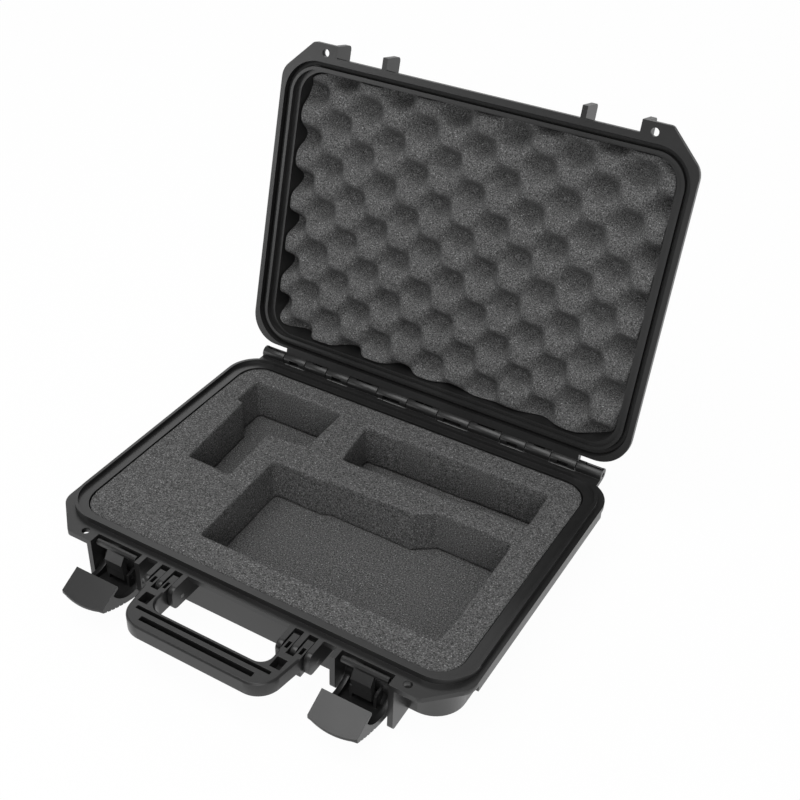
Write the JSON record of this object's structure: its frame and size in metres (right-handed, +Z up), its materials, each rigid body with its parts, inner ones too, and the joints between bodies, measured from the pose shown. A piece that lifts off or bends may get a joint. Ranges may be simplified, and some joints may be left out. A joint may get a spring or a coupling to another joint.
{
  "type": "hinged carrying case",
  "caption": "Hinged protective case with two latches, a folding handle and foam cut for a microphone, a mixer and an adapter.",
  "frame": {"origin": "centre of the base's flat underside", "axes": "+Z up, hinge along X, handle and latches on the -Y side, lid open behind"},
  "size_m": [0.3626, 0.4259, 0.3205],
  "materials": {
    "case_plastic": "fine satin moulded plastic, dark grey to black",
    "seal_rubber": "matt black soft seal",
    "case_foam": "charcoal open-cell foam",
    "pin_steel": "plain steel rod"
  },
  "bodies": {
    "base": {"base_shell": "case_plastic", "base_foam": "case_foam", "base_floor_pad": "case_foam", "hinge_pin_left": "pin_steel", "hinge_pin_right": "pin_steel", "handle_pin_left": "pin_steel", "handle_pin_right": "pin_steel", "lever_pin_left": "pin_steel", "lever_pin_right": "pin_steel"},
    "lid": {"lid_shell": "case_plastic", "lid_gasket": "seal_rubber", "lid_foam": "case_foam"},
    "handle": {"handle": "case_plastic"},
    "lever_left": {"latch_lever_left": "case_plastic", "claw_pin_left": "pin_steel"},
    "lever_right": {"latch_lever_right": "case_plastic", "claw_pin_right": "pin_steel"},
    "claw_left": {"latch_claw_left": "case_plastic"},
    "claw_right": {"latch_claw_right": "case_plastic"}
  },
  "joints": [
    {"name": "lid_hinge", "type": "hinge", "parent": "base", "child": "lid", "pos_m": [0, 0.1387, 0.0489], "axis": [1, 0, 0], "range_deg": [0, 104.17]},
    {"name": "handle_swing", "type": "hinge", "parent": "base", "child": "handle", "pos_m": [0, -0.139, 0.034], "axis": [1, 0, 0], "range_deg": [-15, 90]},
    {"name": "latch_left", "type": "hinge", "parent": "base", "child": "lever_left", "pos_m": [-0.1093, -0.125, 0.024], "axis": [-1, 0, 0], "range_deg": [0, 67.5]},
    {"name": "latch_right", "type": "hinge", "parent": "base", "child": "lever_right", "pos_m": [0.1093, -0.125, 0.024], "axis": [-1, 0, 0], "range_deg": [0, 67.5]},
    {"name": "claw_left_pivot", "type": "hinge", "parent": "lever_left", "child": "claw_left", "pos_m": [-0.1093, -0.1344, 0.02058], "axis": [1, 0, 0], "range_deg": [0, 63.6]},
    {"name": "claw_right_pivot", "type": "hinge", "parent": "lever_right", "child": "claw_right", "pos_m": [0.1093, -0.1344, 0.02058], "axis": [1, 0, 0], "range_deg": [0, 63.6]}
  ],
  "couplings": [
    {"joint": "claw_left_pivot", "follows": "latch_left", "ratio": 0.94},
    {"joint": "claw_right_pivot", "follows": "latch_right", "ratio": 0.94}
  ]
}
